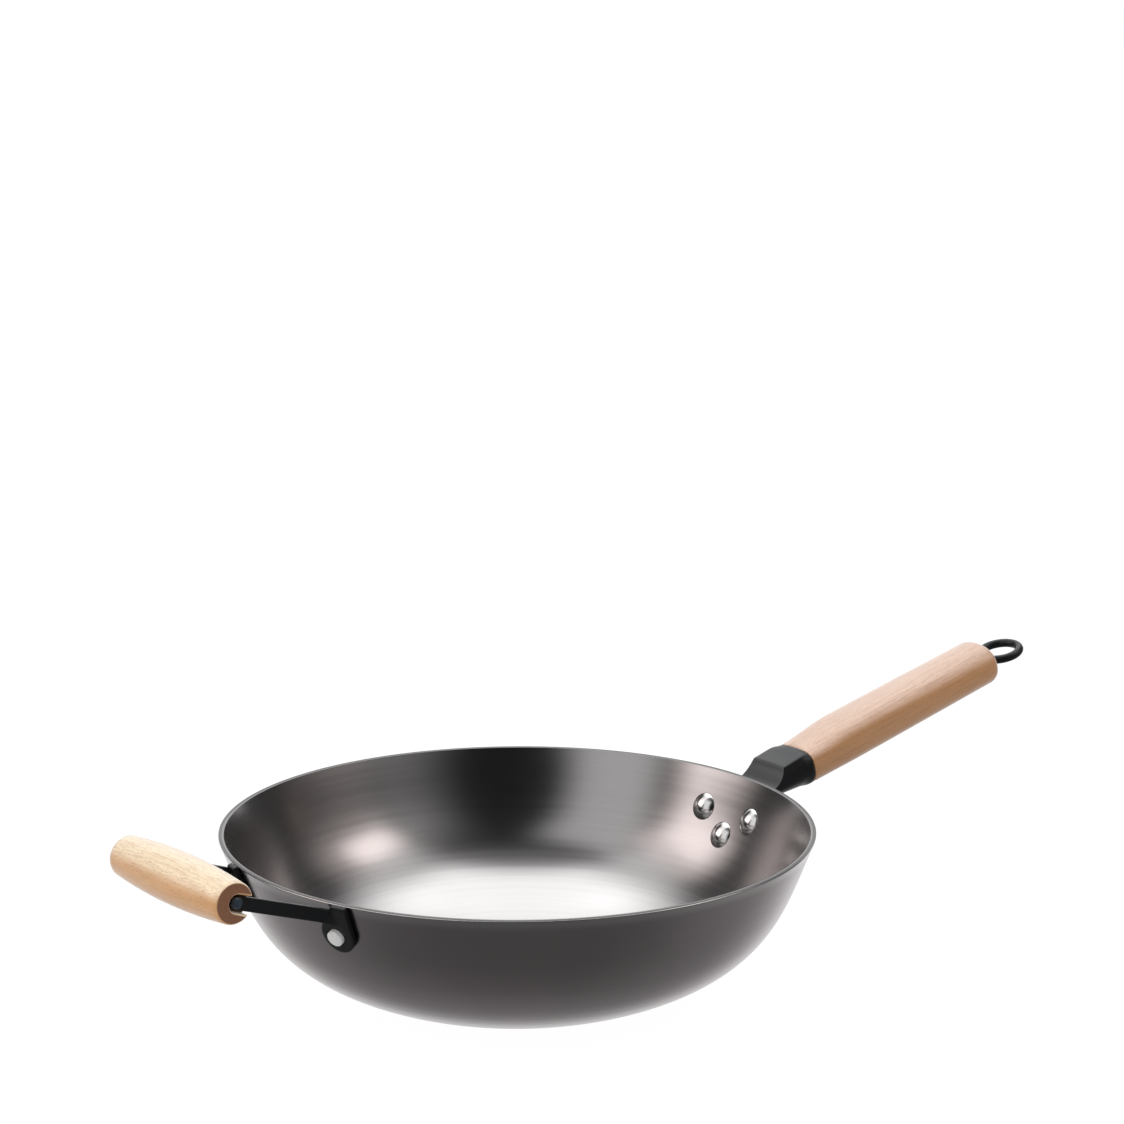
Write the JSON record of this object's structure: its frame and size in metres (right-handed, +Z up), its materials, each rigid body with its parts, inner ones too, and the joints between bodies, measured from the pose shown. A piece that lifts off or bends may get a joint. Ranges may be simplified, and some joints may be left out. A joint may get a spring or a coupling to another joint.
{
  "type": "wok",
  "caption": "Flat-based cast iron wok with a long wooden handle in a riveted bracket, a hanging eye, and a wooden helper handle on strip arms.",
  "frame": {"origin": "on the bowl's axis, at the underside of its flat base", "axes": "+Z up the bowl's axis, +X along the long handle in plan, helper handle at -X"},
  "size_m": [0.6014, 0.32, 0.1409],
  "materials": {
    "iron": "satin polished, finely turned, warm dark grey",
    "black_steel": "satin black coat",
    "rivet_steel": "bright polished",
    "beech": "fine sanded pale beech, unlacquered"
  },
  "bodies": {
    "root": {"wok_body": "iron", "handle_bracket": "black_steel", "handle_rivet_left": "rivet_steel", "handle_rivet_right": "rivet_steel", "handle_rivet_lower": "rivet_steel", "handle_grip": "beech", "hanging_eye_bolt": "black_steel", "helper_bracket_left": "black_steel", "helper_bracket_right": "black_steel", "helper_rivet_left": "rivet_steel", "helper_rivet_right": "rivet_steel", "helper_grip": "beech", "helper_grip_pin": "black_steel"}
  },
  "joints": []
}
